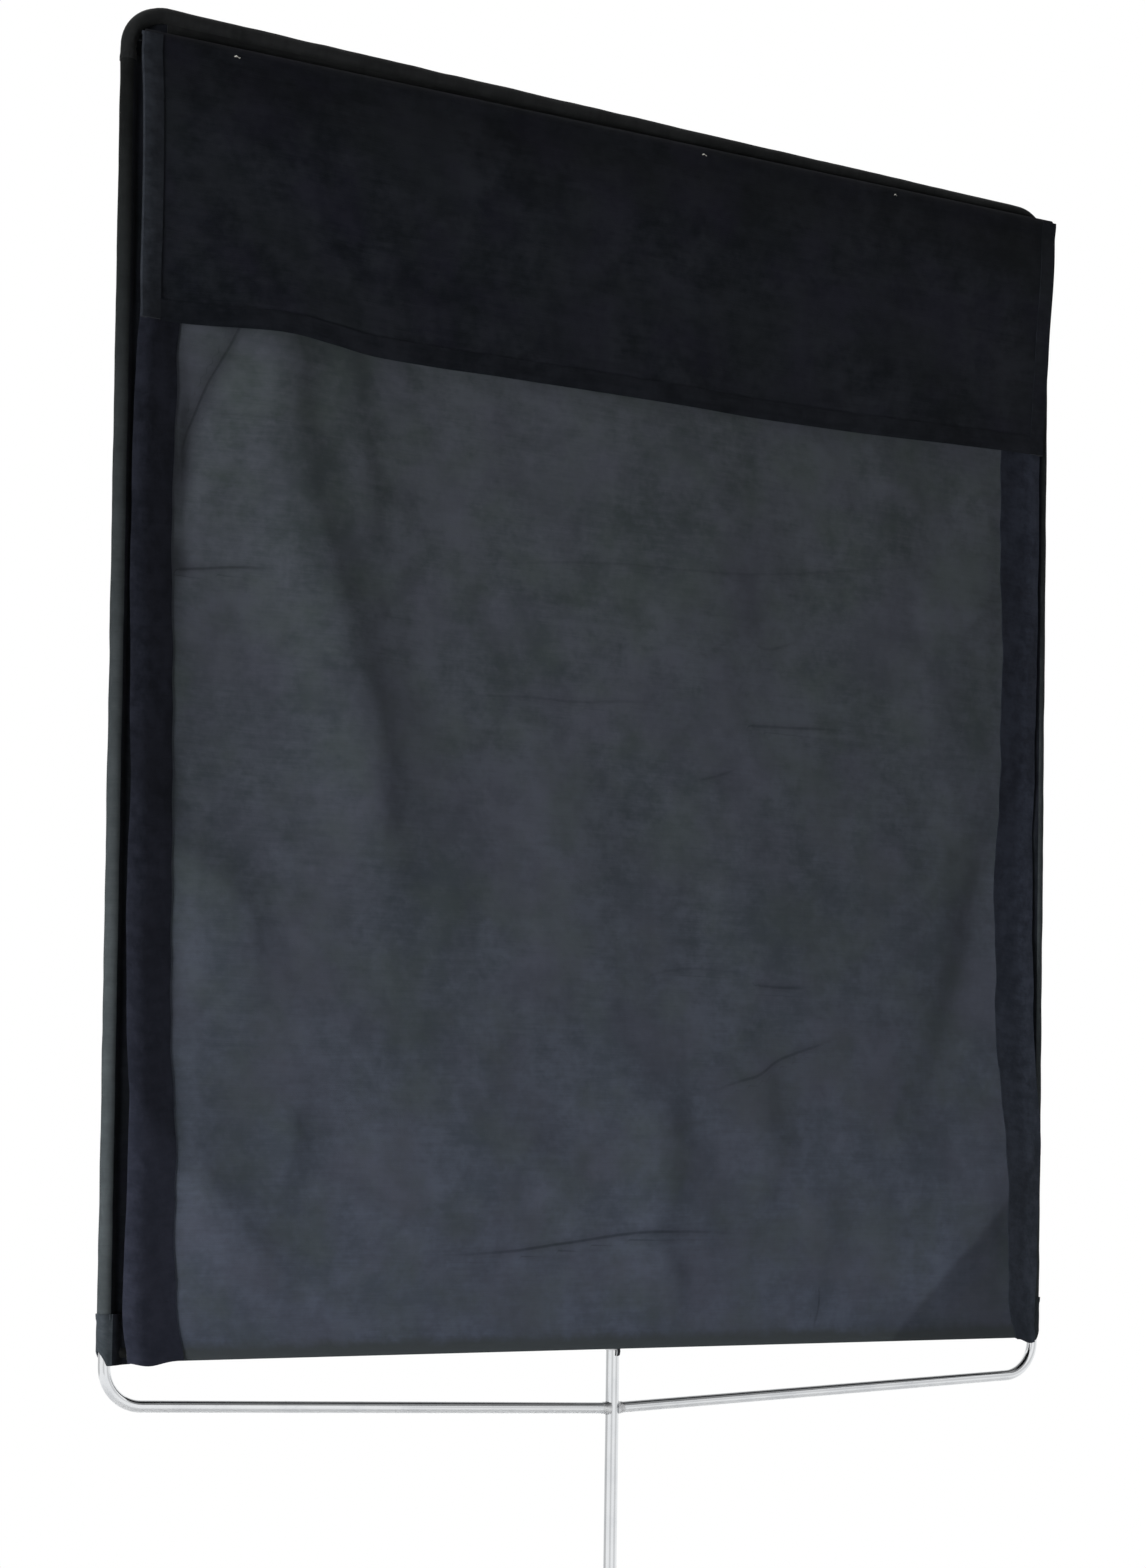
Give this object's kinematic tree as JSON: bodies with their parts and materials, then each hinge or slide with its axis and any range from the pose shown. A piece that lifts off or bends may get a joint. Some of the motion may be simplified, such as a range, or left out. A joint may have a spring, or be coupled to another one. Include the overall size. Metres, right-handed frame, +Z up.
{
  "type": "floppy flag",
  "caption": "Cloth light flag on a rectangular wire frame with a centre mounting pin, a fold-down cloth flop hinged along the bottom and a short retaining flap along the top.",
  "frame": {"origin": "centre of the lower end of the mounting pin", "axes": "+Z up along the pin, +X across the flag, the flop and the retaining flap are on the -Y side"},
  "size_m": [0.765, 0.0271, 1.0665],
  "materials": {
    "plated_wire": "bright zinc plated steel",
    "weld_metal": "plated weld bead",
    "napped_black": "matt napped cotton, face side",
    "hem_black": "matt cotton hem, face side out",
    "reverse_grey": "matt woven cotton, reverse side",
    "touch_tape": "hook and loop pile"
  },
  "bodies": {
    "frame": {"frame_wire": "plated_wire", "inner_crossbar": "plated_wire", "mounting_pin": "plated_wire", "weld_bar_left": "weld_metal", "weld_bar_right": "weld_metal", "weld_crossbar_left": "weld_metal", "weld_crossbar_right": "weld_metal", "weld_pin_top": "weld_metal", "cover_panel": "napped_black", "sleeve_left": "napped_black", "sleeve_right": "napped_black", "sleeve_top": "napped_black", "sleeve_bottom": "napped_black", "cuff_left": "hem_black", "cuff_right": "hem_black", "flop_hinge_tape": "hem_black", "flap_seam_fold": "hem_black"},
    "flop": {"flop_panel": "reverse_grey", "flop_hem_left": "hem_black", "flop_hem_right": "hem_black", "flop_hem_free": "hem_black", "flop_hinge_roll": "hem_black", "flop_hook_left": "touch_tape", "flop_hook_right": "touch_tape"},
    "retaining_flap": {"flap_panel": "napped_black", "flap_hem_left": "hem_black", "flap_hem_right": "hem_black", "flap_hem_bottom": "hem_black", "flap_hinge_roll": "hem_black", "flap_loop_left": "touch_tape", "flap_loop_right": "touch_tape"}
  },
  "joints": [
    {"name": "flop_hinge", "type": "hinge", "parent": "frame", "child": "flop", "pos_m": [0, -0.0135, 0.1861], "axis": [1, 0, 0], "range_deg": [0, 180], "deforming": ["flap_panel", "flap_hem_left", "flap_hem_right", "flap_hem_bottom", "flap_loop_left", "flap_loop_right"]},
    {"name": "retaining_flap_hinge", "type": "hinge", "parent": "frame", "child": "retaining_flap", "pos_m": [0, -0.0115, 1.0479], "axis": [-0.9999, 0, -0.0144], "range_deg": [0, 170]}
  ]
}
